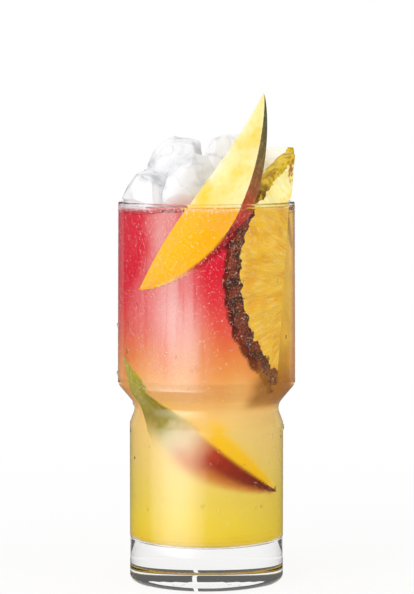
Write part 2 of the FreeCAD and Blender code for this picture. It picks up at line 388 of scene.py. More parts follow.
# %% Lathe tree
def lathe_tree():
    sockets = {"Outline": "Geometry", "Segments": "Int", "Material": "Material"}
    tree, given, keys = new_group("lathe", "GeometryNodeTree", sockets, {"Turned": "Geometry"})
    count = first(tree, "GeometryNodeAttributeDomainSize", {0: given["Outline"]}, component="MESH")
    rows = maths(tree, "ADD", given["Segments"], 1.0)
    grid = first(tree, "GeometryNodeMeshGrid", {"Vertices X": rows, "Vertices Y": count})
    index = first(tree, "GeometryNodeInputIndex")
    ring = maths(tree, "FLOOR", maths(tree, "DIVIDE", index, count))
    column = maths(tree, "MODULO", index, count)
    place = first(tree, "GeometryNodeInputPosition")
    wanted = {"Geometry": given["Outline"], "Value": place, "Index": column}
    sample = first(tree, "GeometryNodeSampleIndex", wanted, data_type="FLOAT_VECTOR")
    angle = maths(tree, "DIVIDE", maths(tree, "MULTIPLY", ring, 2 * math.pi), given["Segments"])
    sockets = {"Vector": sample, "Angle": angle}
    turned = first(tree, "ShaderNodeVectorRotate", sockets, rotation_type="Z_AXIS")
    moved = first(tree, "GeometryNodeSetPosition", {"Geometry": grid, "Position": turned})
    merged = first(tree, "GeometryNodeMergeByDistance", {"Geometry": moved, "Distance": 1e-6})
    finish_shape(tree, merged, given["Material"])
    return tree, keys


LATHE, LATHE_KEYS = lathe_tree()


def lathe(name, outline, segments, material):
    """The outline's (radius, height) points turned about Z."""
    piece = thing_from(name, [(max(r, 0.0), 0.0, z) for r, z in outline], [])
    run_group(piece, LATHE, LATHE_KEYS, {"Segments": segments, "Material": material})
    turn_outward(piece.data)
    return piece


# %% [markdown]
# ## Clear materials
# Glass, the clear outer skin of the drink and beads of water bend light, but a lamp's rays would
# never find their way through them. For shadow and diffuse rays a Transparent shader takes over, so
# that what stands behind the wall is lit.


# %% Glass and clear drink
def clear_material(name, ior, tint=WHITE, clarity=1.0):
    """A Principled glass that lets lamps through. Below 1, clarity leaves it a little milky."""
    material, tree = new_material(name)
    sockets = {"Base Color": tint, "Roughness": 0.0, "IOR": ior, "Transmission Weight": clarity}
    glass = first(tree, "ShaderNodeBsdfPrincipled", sockets)
    lets_through = first(tree, "ShaderNodeBsdfTransparent", {"Color": tint})
    either = any_ray(tree, "Shadow", "Diffuse")
    mixed = first(tree, "ShaderNodeMixShader", {0: either, 1: glass, 2: lets_through})
    show(tree, mixed)
    return material


# %% Turn the glass
TURNS = 160
glass_piece = lathe("glass_turned", glass_line, TURNS, clear_material("clear_glass", GLASS_IOR))
hang(glass_piece, "glass", "glass")

# %% [markdown]
# ## The drink's clear skin
# Light enters the drink before the pulp scatters it, so fruit close to the wall looks crisp and fruit
# further in fades. Two bodies make that: a clear outer one that reaches just into the wall, and a
# cloudy core a few millimetres further in. The clear one climbs the wall a little at the top, as
# liquid does.

# %% Clear outer body
INTO_WALL = 0.12 * MM
MENISCUS_RISE = 0.9 * MM
MENISCUS_REACH = 2.6 * MM
top_radius = wall_radius(LEVEL) + INTO_WALL
meniscus = [
    (top_radius - MENISCUS_REACH * share, LEVEL + MENISCUS_RISE * (1 - share) ** 2.5, 0.0)
    for share in np.linspace(0, 1, 8)
]
skin_line = rounded(inner_corners(-INTO_WALL) + meniscus + [(0.0, LEVEL, 0.0)])
drink_skin = lathe("drink_skin", skin_line, TURNS, clear_material("clear_drink", DRINK_IOR))
hang(drink_skin, "drink", "drink")

# %% [markdown]
# ## Colours that ride on the mesh
# The ripeness of a fruit changes along it in ways that a rule can follow, so each fruit stores a
# tint in its vertices, and its material adds the fine grain. The same tint is what shows through
# the cloudy drink further down.


# %% Blending tints
def tone(red, green, blue):
    """Linear RGB of a screen colour, for sums with arrays."""
    return np.array(paint(red, green, blue)[:3])


def blend(stops, at):
    """Colour along (place, colour) stops, for an array of places."""
    places = [p for p, _ in stops]
    channels = [[paint(*c)[k] for _, c in stops] for k in range(3)]
    return np.stack([np.interp(at, places, ch) for ch in channels], -1)


def mix(a, b, share):
    share = np.asarray(share)[..., None]
    return a * (1 - share) + b * share


def smooth_step(low, high, value):
    t = np.clip((value - low) / (high - low), 0, 1)
    return t * t * (3 - 2 * t)


def wander(points, scale, seed):
    """Smooth noise from -1 to 1 at each point, with features about scale long."""
    return np.array([noise.noise(Vector(p) / scale + Vector((seed, seed, seed))) for p in points])


def over_and_under(points, over, under):
    """One tint above the drink's level and another below it."""
    return mix(under, over, smooth_step(LEVEL - 0.5 * MM, LEVEL + 0.5 * MM, points[:, 2]))


def fog_of(points, clear):
    """How much the drink hides each point, from 0 at the wall to 1 far deeper than clear."""
    z = points[:, 2]
    behind = np.clip(wall_radius(z) - np.hypot(points[:, 0], points[:, 1]), 0, None)
    return (1 - np.exp(-behind / clear)) * (1 - smooth_step(LEVEL - 0.6 * MM, LEVEL + 0.2 * MM, z))


# %% [markdown]
# ## Lofts from tip to tip
# A fruit slice is a row of closed sections that shrink to a point at both ends. Each section is a
# loop of the same number of points, so neighbouring loops join with plain quads.


# %% Loft
def loft(name, rings, material, first_tip=None, last_tip=None):
    """A closed skin over rings of shape (sections, points, 3), with a fan at each end."""
    sections, around = rings.shape[:2]
    points = list(rings.reshape(-1, 3))
    faces = []
    for i in range(sections - 1):
        for j in range(around):
            k = (j + 1) % around
            faces.append((i * around + j, i * around + k, (i + 1) * around + k, (i + 1) * around + j))
    for ring, tip in ((0, first_tip), (sections - 1, last_tip)):
        points.append(np.mean(rings[ring], 0) if tip is None else tip)
        for j in range(around):
            faces.append((ring * around + j, ring * around + (j + 1) % around, len(points) - 1))
    piece = thing_from(name, points, faces, material)
    turn_outward(piece.data)
    return piece


def soften(rings, passes):
    """Rounds the corners of every section by averaging each point with its neighbours."""
    for _ in range(passes):
        rings = 0.5 * rings + 0.25 * (np.roll(rings, 1, axis=1) + np.roll(rings, -1, axis=1))
    return rings


# %% [markdown]
# ## Groups that the fruits and the drink share
# Three effects come back in several materials, so each is a group. One gives the colour of the drink
# by height. One draws the ragged line where flesh meets skin, from a distance stored in the mesh, and
# speckles the skin. One adds fibres along the grain. Groups give out colours and values only, and the
# Principled shader stays in each material.

# %% Group: the drink's colour by height
# Height in millimetres and screen colour. From 16 to 54 mm the colours are paled a little beyond the
# drink's own, a painted reflection.
DRINK_AND_REFLECTION_STOPS = [
    (16, (231, 191, 36)),
    (29, (233, 202, 60)),
    (42, (233, 202, 84)),
    (54, (235, 201, 104)),
    (66, (238, 200, 116)),
    (74, (243, 198, 118)),
    (82, (241, 184, 104)),
    (94, (233, 148, 74)),
    (103, (228, 122, 62)),
    (113, (224, 84, 62)),
    (125, (220, 50, 56)),
    (138, (214, 22, 46)),
    (150, (216, 34, 54)),
    (165, (216, 40, 58)),
]


def drink_group():
    tree, given, _ = new_group("drink_by_height", "ShaderNodeTree", {"Height": "Float"}, {"Color": "Color"})
    low, high = DRINK_AND_REFLECTION_STOPS[0][0] * MM, DRINK_AND_REFLECTION_STOPS[-1][0] * MM
    ramp = add(tree, "ShaderNodeValToRGB", {0: ranged(tree, given["Height"], low, high)})
    stops = ramp.color_ramp.elements
    stops[0].color, stops[1].color = paint(*DRINK_AND_REFLECTION_STOPS[0][1]), paint(*DRINK_AND_REFLECTION_STOPS[-1][1])
    for z, colour in DRINK_AND_REFLECTION_STOPS[1:-1]:
        stops.new((z * MM - low) / (high - low)).color = paint(*colour)
    add(tree, "NodeGroupOutput", {"Color": ramp.outputs["Color"]})
    return tree


# %% Group: skin meeting flesh
def edge_group():
    inputs = {"Flesh": "Color", "Skin": "Color", "Edge": "Float", "Place": "Vector"}
    inputs |= {"Ragged": "Float", "Softness": "Float", "Specks": "Color", "Speck Share": "Float"}
    tree, given, _ = new_group("skin_edge", "ShaderNodeTree", inputs, {"Color": "Color"})
    torn = maths(tree, "SUBTRACT", grained(tree, given["Place"], 420.0, 3.0, 0.65), 0.5)
    shifted = maths(tree, "MULTIPLY_ADD", torn, given["Ragged"], given["Edge"])
    below = maths(tree, "MULTIPLY", given["Softness"], -1.0)
    mask = ranged(tree, shifted, below, given["Softness"], interpolation_type="SMOOTHSTEP")
    grit = grained(tree, given["Place"], 1500.0, 2.0, 0.6)
    bright = ranged(tree, grit, 0.54, 0.68, interpolation_type="SMOOTHSTEP")
    amount = maths(tree, "MULTIPLY", bright, given["Speck Share"])
    speckled = tinted(tree, amount, given["Skin"], given["Specks"])
    add(tree, "NodeGroupOutput", {"Color": tinted(tree, mask, given["Flesh"], speckled)})
    return tree


# %% Group: fibres
def fibre_group():
    inputs = {"Tint": "Color", "Place": "Vector", "Fibre Scale": "Float", "Contrast": "Float"}
    tree, given, _ = new_group("fibres", "ShaderNodeTree", inputs, {"Color": "Color", "Height": "Float"})
    strands = grained(tree, given["Place"], given["Fibre Scale"], 4.0, 0.6)
    patches = grained(tree, given["Place"], 160.0, 2.0)
    centred = maths(tree, "SUBTRACT", maths(tree, "ADD", strands, patches), 1.0)
    level = maths(tree, "MULTIPLY_ADD", centred, given["Contrast"], 1.0)
    shaded = first(tree, "ShaderNodeVectorMath", {0: given["Tint"], "Scale": level}, operation="SCALE")
    add(tree, "NodeGroupOutput", {"Color": shaded, "Height": strands})
    return tree


DRINK_COLOUR, SKIN_EDGE, FIBRES = drink_group(), edge_group(), fibre_group()

# %% [markdown]
# ## Cut fruit
# Wet flesh is glossy over fibres that run along the slice, and its skin is speckled. Both are one
# material, so that the torn line between them is free of any seam in the mesh. Where drink lies in
# front, its colour is laid over the fruit as strongly as the mesh's fog says.


# %% Material of a cut fruit
def height_of(tree):
    return add(tree, "ShaderNodeSeparateXYZ", {0: object_place(tree)}).outputs["Z"]


def drink_at(tree, height):
    return first(tree, "ShaderNodeGroup", {"Height": height}, node_tree=DRINK_COLOUR)


def veiled(tree, colour):
    """The colour with the drink's own colour over it."""
    return tinted(tree, attribute(tree, "fog"), colour, drink_at(tree, height_of(tree)))


def fruit_material(name, roughness, stretch, fibre_scale, contrast, bump, **edge):
    """Flesh and skin from the mesh's tints. edge says how ragged, soft and speckled the skin is."""
    material, tree = new_material(name)
    grain = attribute(tree, "grain", "Vector")
    sockets = {"Flesh": attribute(tree, "flesh", "Color"), "Skin": attribute(tree, "skin", "Color")}
    sockets |= {"Edge": attribute(tree, "edge"), "Place": grain}
    sockets |= {"Ragged": edge["ragged"], "Softness": edge["softness"]}
    sockets |= {"Specks": paint(*edge["specks"]), "Speck Share": edge["speck_share"]}
    tint = first(tree, "ShaderNodeGroup", sockets, node_tree=SKIN_EDGE)
    drawn = first(tree, "ShaderNodeMapping", {"Vector": grain, "Scale": stretch})
    sockets = {"Tint": tint, "Place": drawn, "Fibre Scale": fibre_scale, "Contrast": contrast}
    fibres = add(tree, "ShaderNodeGroup", sockets, node_tree=FIBRES).outputs
    sockets = {"Base Color": veiled(tree, fibres["Color"]), "Roughness": roughness, "IOR": FRUIT_IOR}
    sockets["Normal"] = bumped(tree, fibres["Height"], bump, 0.5 * MM)
    show(tree, first(tree, "ShaderNodeBsdfPrincipled", sockets))
    return material


mango_material = fruit_material(
    "mango",
    roughness=0.38,
    stretch=(0.35, 1.0, 1.0),
    fibre_scale=1500.0,
    contrast=0.16,
    bump=0.12,
    ragged=0.35 * MM,
    softness=0.12 * MM,
    specks=(216, 150, 90),
    speck_share=0.4,
)
pineapple_material = fruit_material(
    "pineapple",
    roughness=0.42,
    stretch=(0.22, 1.0, 1.0),
    fibre_scale=900.0,
    contrast=0.36,
    bump=0.55,
    ragged=3.6 * MM,
    softness=0.25 * MM,
    specks=(214, 140, 30),
    speck_share=0.6,
)


def dress(piece, flesh, skin, edge, grain, tear, fog):
    """Stores on a cut fruit everything its material reads, and the tint that shows through the drink."""
    store_colour(piece, "flesh", flesh)
    store_colour(piece, "skin", skin)
    store_colour(piece, "tint", mix(flesh, skin, smooth_step(-tear, tear, edge)))
    store(piece, "edge", "FLOAT", edge)
    store(piece, "fog", "FLOAT", fog)
    store(piece, "grain", "FLOAT_VECTOR", grain)


# %% [markdown]
# ## Mango
# A slice of mango cheek is a wedge: two cut faces meet along a sharp edge, and the skin closes the
# round side. The sections follow the same rule as the solid model, only finer, and the corners are
# softened. Where a slice is sunk, its back fades into the drink.

# %% Mango rule
FACE_STEPS, SKIN_STEPS = 40, 24
FACE_CROWN = 0.35  # mm that a cut face swells
TIP_INSET = 0.6  # of a section, from each tip to the section next to it


def mango_rings(
    first_tip, last_tip, facing, face_width, edge_bulge, edge_sway, skin_lean, top_lean, thickness,
    bow, skin_bulge, fullness, skew, sections=110,
):
    """Sections of a slice, from sizes in mm. With each point go its share from tip to tip, its
    distance into the skin and its share across: 0 to 1 over the cut face, on to 2 over the skin."""
    first_tip, last_tip = np.array(first_tip) * MM, np.array(last_tip) * MM
    chord = last_tip - first_tip
    along = unit(chord)
    across = unit(np.cross(along, np.array(facing, float)))
    out = unit(np.cross(across, along))
    rings, marks = [], []
    for i in range(sections):
        share = 0.5 - 0.5 * math.cos(math.pi * (i + TIP_INSET) / (sections - 1 + 2 * TIP_INSET))
        arch = math.sin(math.pi * share)
        swell = math.sin(math.pi * share**skew) ** fullness
        centre = first_tip + chord * share + out * bow * MM * arch
        sharp = centre - across * MM * (edge_bulge * arch + edge_sway * math.sin(2 * math.pi * share))
        front = centre + across * face_width * MM * swell
        lean = skin_lean + top_lean * float(smooth_step(0.35, 0.6, share))
        back = front + across * lean * MM * swell - out * thickness * MM * swell
        skin_way = unit(np.cross(front - back, along))
        skin_way = skin_way * np.sign(skin_way @ across)
        face_size = np.linalg.norm(front - sharp)
        skin_size = np.linalg.norm(back - front)
        ring, mark = [], []
        for t in np.linspace(0, 1, FACE_STEPS, endpoint=False):
            ring.append(sharp + (front - sharp) * t + out * 4 * FACE_CROWN * MM * swell * t * (1 - t))
            mark.append((share, (t - 1) * face_size, t))
        for t in np.linspace(0, 1, SKIN_STEPS, endpoint=False):
            ring.append(front + (back - front) * t + skin_way * 4 * skin_bulge * MM * swell * t * (1 - t))
            mark.append((share, min(t, 1 - t) * skin_size, 1 + t))
        for t in np.linspace(0, 1, SKIN_STEPS, endpoint=False):
            ring.append(back + (sharp - back) * t)
            mark.append((share, -t * face_size, 1 - t))
        rings.append(ring)
        marks.append(mark)
    return soften(np.array(rings), 2), np.array(marks), first_tip, last_tip, np.stack([along, across, out])


def mango_piece(name, size, flesh_tint, skin_tint, clear, far_fade):
    """A slice whose tints come from flesh_tint(points, share, across) and skin_tint of the same.
    clear is how deep one sees it in the drink, far_fade how far its back edge is lost."""
    rings, marks, first_tip, last_tip, axes = mango_rings(**size)
    piece = loft(name, rings, mango_material, first_tip, last_tip)
    tip_marks = [[0.0, 0.1 * MM, 1.2], [1.0, 0.1 * MM, 1.2]]
    share, edge, across = np.concatenate([marks.reshape(-1, 3), tip_marks]).T
    places = points_of(piece)
    face_fade = np.maximum(smooth_step(0.7, 0.2, across), smooth_step(0.62, 0.5, share)) * (across < 1)
    skin_fade = smooth_step(1.55, 2.0, across) * smooth_step(0.26, 0.44, share)
    fog = np.maximum(fog_of(places, clear), far_fade * np.maximum(face_fade, skin_fade))
    fog = np.where(places[:, 2] > LEVEL, 0.0, fog)
    flesh, skin = flesh_tint(places, share, across), skin_tint(places, share, across)
    dress(piece, flesh, skin, edge, (places - first_tip) @ axes.T, 0.15 * MM, fog)
    return piece


def speckled(plain, points, scale, seed, dark, bright, share):
    """A skin tint with paler specks. dark and bright are its strengths off the specks and on them."""
    specks = smooth_step(0.1, 0.5, wander(points, scale, seed))
    return mix(plain * dark, plain * bright + 0.03, share * specks)


# %% [markdown]
# The slice on the rim is pale and patchy in the air and deep gold in the drink. Its skin goes from
# crimson low down to green at the tip. It leans on the wall, so the drink in front hides none of it.

# %% Mango slice on the rim
TOP_SKIN = [
    (0.0, (250, 180, 50)),
    (0.08, (248, 196, 110)),
    (0.15, (240, 160, 120)),
    (0.21, (200, 26, 34)),
    (0.32, (158, 8, 26)),
    (0.43, (150, 6, 16)),
    (0.48, (204, 20, 20)),
    (0.54, (186, 56, 28)),
    (0.62, (156, 84, 44)),
    (0.75, (120, 98, 54)),
    (0.88, (92, 96, 60)),
    (1.0, (76, 84, 54)),
]


def top_flesh(points, share, across):
    pale = blend(
        [(0, (248, 240, 216)), (0.2, (246, 231, 166)), (0.6, (245, 227, 146)), (1, (246, 230, 168))], across
    )
    specks = smooth_step(-0.05, 0.45, wander(points, 2.0 * MM, 3.0))
    patches = smooth_step(0.0, 0.4, wander(points, 9 * MM, 4.0))
    low_patch = smooth_step(0.62, 0.5, share) * smooth_step(0.7, 0.35, across)
    lively = np.clip(0.25 * specks + 0.45 * patches + 0.45 * low_patch, 0, 1)
    under = blend(
        [(0, (254, 196, 4)), (0.35, (253, 186, 4)), (0.8, (250, 156, 8)), (1, (248, 170, 24))], across
    )
    golden = blend([(0.0, (253, 190, 2)), (0.2, (253, 192, 2)), (0.42, (252, 184, 4))], share)
    return over_and_under(points, mix(pale, tone(242, 208, 52), lively), mix(under, golden, 0.6))


def top_skin(points, share, across):
    return speckled(blend(TOP_SKIN, share), points, 1.1 * MM, 6.0, 0.85, 1.6, 0.6)


mango_top = mango_piece(
    "mango_top_slice",
    {
        "first_tip": (-27.8, -22.6, 130.6),
        "last_tip": (24.2, -34.0, 214.8),
        "facing": (0.08, -1.0, 0.0),
        "face_width": 17.4,
        "edge_bulge": 2.2,
        "edge_sway": 1.2,
        "skin_lean": 3.6,
        "top_lean": 2.2,
        "thickness": 11.5,
        "bow": 6.0,
        "skin_bulge": 2.4,
        "fullness": 0.80,
        "skew": 0.84,
    },
    top_flesh,
    top_skin,
    clear=10.0,  # metres, so that the drink in front leaves it clear
    far_fade=0.0,
)
hang(mango_top, "mango", "mango_top")

# %% [markdown]
# The sunk slice lies with its skin forward: green at the upper tip, pale where the light falls on it
# and dark red at the lower tip. Its upper tip is a little higher than in the solid model, because the
# round glass bends the view of it.

# %% Sunk mango slice
LOW_SKIN = [
    (0.0, (176, 166, 62)),
    (0.16, (160, 150, 34)),
    (0.3, (134, 120, 6)),
    (0.38, (150, 136, 30)),
    (0.45, (206, 184, 128)),
    (0.52, (212, 178, 128)),
    (0.58, (204, 134, 84)),
    (0.64, (170, 40, 18)),
    (0.7, (144, 4, 0)),
    (0.8, (126, 0, 0)),
    (0.92, (100, 4, 0)),
    (1.0, (84, 24, 4)),
]


def low_flesh(points, share, across):
    return blend([(0, (247, 200, 22)), (1, (246, 186, 14))], across)


def low_skin(points, share, across):
    ripe = smooth_step(0.45, 0.6, share) * smooth_step(1.3, 1.65, across)
    plain = mix(blend(LOW_SKIN, share), tone(200, 118, 44), ripe)
    return speckled(plain, points, 1.5 * MM, 9.0, 1.0, 1.5, 0.4)


mango_low = mango_piece(
    "mango_low_slice",
    {
        "first_tip": (-34.0, -9.6, 101.4),
        "last_tip": (28.9, -10.0, 41.0),
        "facing": (0.474, -0.69, 0.542),
        "face_width": 7.5,
        "edge_bulge": 7.7,
        "edge_sway": 0.0,
        "skin_lean": 9.9,
        "top_lean": 0.0,
        "thickness": 16.1,
        "bow": 3.7,
        "skin_bulge": 4.4,
        "fullness": 0.82,
        "skew": 1.20,
    },
    low_flesh,
    low_skin,
    clear=300 * MM,
    far_fade=0.95,
)
hang(mango_low, "mango", "mango_low")


# %% [markdown]
# ## Pineapple
# A slice is cut square across the fruit. Its sections run from the straight cut or the core out to
# the rind and back on the other face, and step along the rind's arc. The rind is scaled, so its
# radius rises and falls once for each scale, and the material tears its edge against the flesh.

# %% Pineapple rule
SCALE_PITCH = 8.0  # mm along the rind
RIND_CROWN = 0.8 * MM
PINEAPPLE_CLEAR = 80 * MM
# Height from the drink's level and width of the rind there, in mm.
RIND_WIDTHS = [(-62, 4.2), (-34, 3.2), (-24, 2.0), (0, 2.0), (6, 2.2)]


def place_slice(points, turn, lean, centre):
    """From the slice's own frame, flat in XZ, to its place in the glass."""
    move = Matrix.Translation(Vector(centre) * MM) @ Matrix.Rotation(math.radians(turn), 4, "Z")
    m = np.array(move @ Matrix.Rotation(math.radians(lean), 4, "Y"))
    return points @ m[:3, :3].T + m[:3, 3]


def scale_height(angle, radius):
    """How far the scales stand out at an angle along the rind, in metres."""
    phase = angle * radius / SCALE_PITCH
    return (1.1 + 0.3 * math.sin(2.4 * math.floor(phase))) * MM * abs(math.sin(math.pi * phase)) ** 0.7


def slice_rings(radius, inner_of, start, end, thickness, rough_of, sections=190):
    """Closed sections across a slice, from start to end degrees along the rind."""
    rings = []
    deep = np.array([0.0, thickness * MM, 0.0])
    on_face, on_rind, on_cut = (np.linspace(0, 1, steps, endpoint=False) for steps in (48, 12, 8))
    for i in range(sections):
        angle = math.radians(start + (end - start) * (i + 0.5) / sections)
        outer = radius * MM + scale_height(angle, radius) * rough_of(angle)
        inner = min(inner_of(angle) * MM, outer - 0.3 * MM)
        way = np.array([math.cos(angle), 0.0, math.sin(angle)])
        ring = [way * (inner + (outer - inner) * t) for t in on_face]
        ring += [way * (outer + RIND_CROWN * math.sin(math.pi * t)) + deep * t for t in on_rind]
        ring += [way * (outer + (inner - outer) * t) + deep for t in on_face]
        ring += [way * inner + deep * (1 - t) for t in on_cut]
        rings.append(ring)
    return soften(np.array(rings), 1)


def pineapple_piece(name, rings, radius, place, flesh_tint, set_back=(0.0, 0.0, 0.0)):
    """The slice in its place. Its edge value is how far a point lies inside the rind, and set_back
    moves the part above the drink, as the drink's bending of light moves the sunk part."""
    flat = np.concatenate([rings.reshape(-1, 3), rings[0].mean(0)[None], rings[-1].mean(0)[None]])
    placed = place_slice(rings.reshape(-1, 3), **place)
    free = smooth_step(LEVEL - 1 * MM, LEVEL + 6 * MM, placed[:, 2])
    placed = placed + free[:, None] * np.array(set_back) * MM
    piece = loft(name, placed.reshape(rings.shape), pineapple_material)
    places = points_of(piece)
    reach, angle = np.hypot(flat[:, 0], flat[:, 2]), np.arctan2(flat[:, 2], flat[:, 0])
    angle = np.where(angle < -0.5 * math.pi, angle + 2 * math.pi, angle)
    rind_width = np.interp((places[:, 2] - LEVEL) / MM, *zip(*RIND_WIDTHS)) * MM
    rind_width += 1.0 * MM * wander(places, 2.4 * MM, 17.0)
    eyes = np.abs(np.sin(math.pi * angle * radius / SCALE_PITCH))
    edge = rind_width * (0.8 + 0.4 * eyes) - (radius * MM - reach)
    grain = np.stack([reach, angle * radius * MM, flat[:, 1]], -1)
    flesh, fog = flesh_tint(places, grain), fog_of(places, PINEAPPLE_CLEAR)
    dress(piece, flesh, rind_colours(places), edge, grain, 0.8 * MM, fog)
    return piece


# %% [markdown]
# The flesh is pale and dry in the air and golden in the drink, with fibres and juicier patches along the
# grain. Above the drink the back slice's face is painted almost white, a painted highlight where a lamp
# falls full on it. The rind is dark and scaly under the drink, and olive and yellow where it has dried.

# %% Colours of pineapple
SUNK_FLESH = (tone(243, 192, 44), tone(248, 212, 106), tone(231, 164, 4))
EYE_X, EYE_Z = 36.6 * MM, 181.0 * MM
EYE_WIDTH, EYE_HEIGHT = 1.0 * MM, 4.2 * MM


def streaked(grain, plain, pale, deep):
    """Flesh with pale fibres and deeper, juicier patches along the grain."""
    drawn = grain * np.array([0.3, 1.0, 1.0])
    streaks = smooth_step(0.0, 0.5, wander(drawn, 1.5 * MM, 2.0))
    patches = smooth_step(-0.15, 0.35, wander(grain, 7 * MM, 7.0))
    return mix(mix(plain, deep, 0.65 * patches), pale, 0.5 * streaks)


def front_flesh(points, grain):
    """Golden, with one brown eye above the drink and a low end darkened towards brown as painted shade."""
    over = streaked(grain, tone(253, 240, 160), tone(255, 252, 226), tone(250, 222, 84))
    gap = np.hypot((points[:, 0] - EYE_X) / EYE_WIDTH, (points[:, 2] - EYE_Z) / EYE_HEIGHT)
    eye = smooth_step(1.2, 0.5, gap + wander(points, 1 * MM, 3.0))
    # Painted shade: the low end of the slice, under the drink, is darkened towards brown.
    shaded_low_end = smooth_step(100 * MM, 88 * MM, points[:, 2])
    under = mix(streaked(grain, *SUNK_FLESH), tone(196, 136, 34), 0.8 * shaded_low_end)
    return over_and_under(points, mix(over, tone(150, 50, 14), 0.85 * eye), under)


def back_flesh(points, grain):
    # Above the drink the face is painted almost white: a painted highlight.
    over = streaked(grain, tone(252, 250, 240), tone(255, 255, 253), tone(250, 238, 186))
    return over_and_under(points, over, streaked(grain, *SUNK_FLESH))


def rind_colours(points):
    fine = smooth_step(-0.1, 0.4, wander(points, 1.6 * MM, 11.0))
    broad = smooth_step(-0.3, 0.3, wander(points, 4.0 * MM, 12.0))
    under = mix(tone(34, 4, 0), tone(108, 30, 2), broad)
    low = smooth_step(102 * MM, 90 * MM, points[:, 2])
    under = mix(under, mix(tone(92, 48, 8), tone(150, 92, 20), fine), 0.85 * low)
    over = mix(tone(198, 160, 10), tone(232, 200, 52), broad)
    over = mix(over, tone(136, 86, 14), 0.6 * fine)
    crust = smooth_step(LEVEL + 12 * MM, LEVEL + 6 * MM, points[:, 2]) * smooth_step(0.1, 0.3, broad + fine)
    return over_and_under(points, mix(over, tone(84, 34, 10), 0.85 * crust), under)


# %% Pineapple slices
FRONT_RADIUS, FRONT_CUT, FRONT_THICKNESS = 60.0, 33.0, 7.5
FRONT_PLACE = {"turn": 42.0, "lean": 6.0, "centre": (56.6, 7.8, 135.0)}
half_front = math.degrees(math.acos(FRONT_CUT / FRONT_RADIUS))
front_rings = slice_rings(
    FRONT_RADIUS,
    lambda a: FRONT_CUT / abs(math.cos(a)),
    180 - half_front,
    180 + half_front,
    FRONT_THICKNESS,
    lambda a: float(np.interp(math.sin(a), [0.42, 0.6], [1.15, 0.35])),
)
pineapple_front = pineapple_piece(
    "pineapple_front_slice", front_rings, FRONT_RADIUS, FRONT_PLACE, front_flesh, set_back=(2.4, 0.6, 0.0)
)
hang(pineapple_front, "pineapple", "pineapple_front")

BACK_RADIUS, BACK_CORE, BACK_SPAN, BACK_THICKNESS = 45.5, 12.0, 78.0, 9.0
BACK_PLACE = {"turn": 2.0, "lean": 0.0, "centre": (-8.0, 0.6, 191.0)}
back_rings = slice_rings(BACK_RADIUS, lambda a: BACK_CORE, 0.0, -BACK_SPAN, BACK_THICKNESS, lambda a: 0.6)
pineapple_back = pineapple_piece("pineapple_back_slice", back_rings, BACK_RADIUS, BACK_PLACE, back_flesh)
hang(pineapple_back, "pineapple", "pineapple_back")

# %% [markdown]
# ## Ice
# Each cube starts as a block with rounded edges. Flat chips are cut off it in seeded directions, and
# smooth noise then pushes the surface in and out, as melting does. No cube reaches past the wall, and
# below the level each stays inside the cloudy core.


# %% Ice material
def ice_shader():
    material, tree = new_material("ice")
    melt = grained(tree, object_place(tree), 130.0, 2.0)
    sockets = {"Base Color": veiled(tree, attribute(tree, "tint", "Color")), "Roughness": 0.12}
    sockets |= {"IOR": ICE_IOR, "Transmission Weight": 0.05, "Normal": bumped(tree, melt, 0.35, 1.2 * MM)}
    show(tree, first(tree, "ShaderNodeBsdfPrincipled", sockets))
    return material


# %% Ice blocks
ICE_MATERIAL = ice_shader()
ICE_REACH = 38.4 * MM
# Ice tints from clear to grey. The greys that noise lays in soft clouds are painted shade; thin ridges give
# dark cracks.
ICE_TINTS = [(0, (243, 243, 244)), (0.5, (223, 223, 225)), (1, (170, 173, 178))]
CHIPS = 12
# Centre and edges in mm, turns in degrees, taper and melting.
ICE = [
    ((-6.5, -13.0, 174.0), (27, 23, 27), (10, 10, -6), 0.84, 0.60),
    ((-25.0, -13.0, 167.5), (23, 26, 25), (34, -8, 10), 0.80, 0.70),
    ((-13.5, 2.5, 182.0), (24, 21, 25), (-20, 16, 12), 0.72, 0.42),
    ((9.0, -7.5, 182.5), (22, 15, 25), (20, -12, -6), 0.80, 0.42),
    ((-21.5, 20.0, 168.0), (25, 24, 25), (20, 10, -12), 0.84, 0.5),
    ((3.0, 23.5, 172.0), (26, 20, 26), (-8, -8, 10), 0.86, 0.5),
    ((23.0, 20.5, 167.5), (19, 17, 22), (40, 6, 8), 0.84, 0.5),
]


def ice_reach(z):
    """How far from the axis ice may lie: inside the cloudy drink, inside the wall, then free."""
    sunk, inside = wall_radius(min(z, LEVEL)) - 5.2 * MM, WALL_AT_RIM - 0.3 * MM
    if z < GLASS_HEIGHT:
        return sunk + (inside - sunk) * float(smooth_step(LEVEL - 2.5 * MM, LEVEL, z))
    return inside + (ICE_REACH - inside) * float(smooth_step(GLASS_HEIGHT, GLASS_HEIGHT + 2 * MM, z))


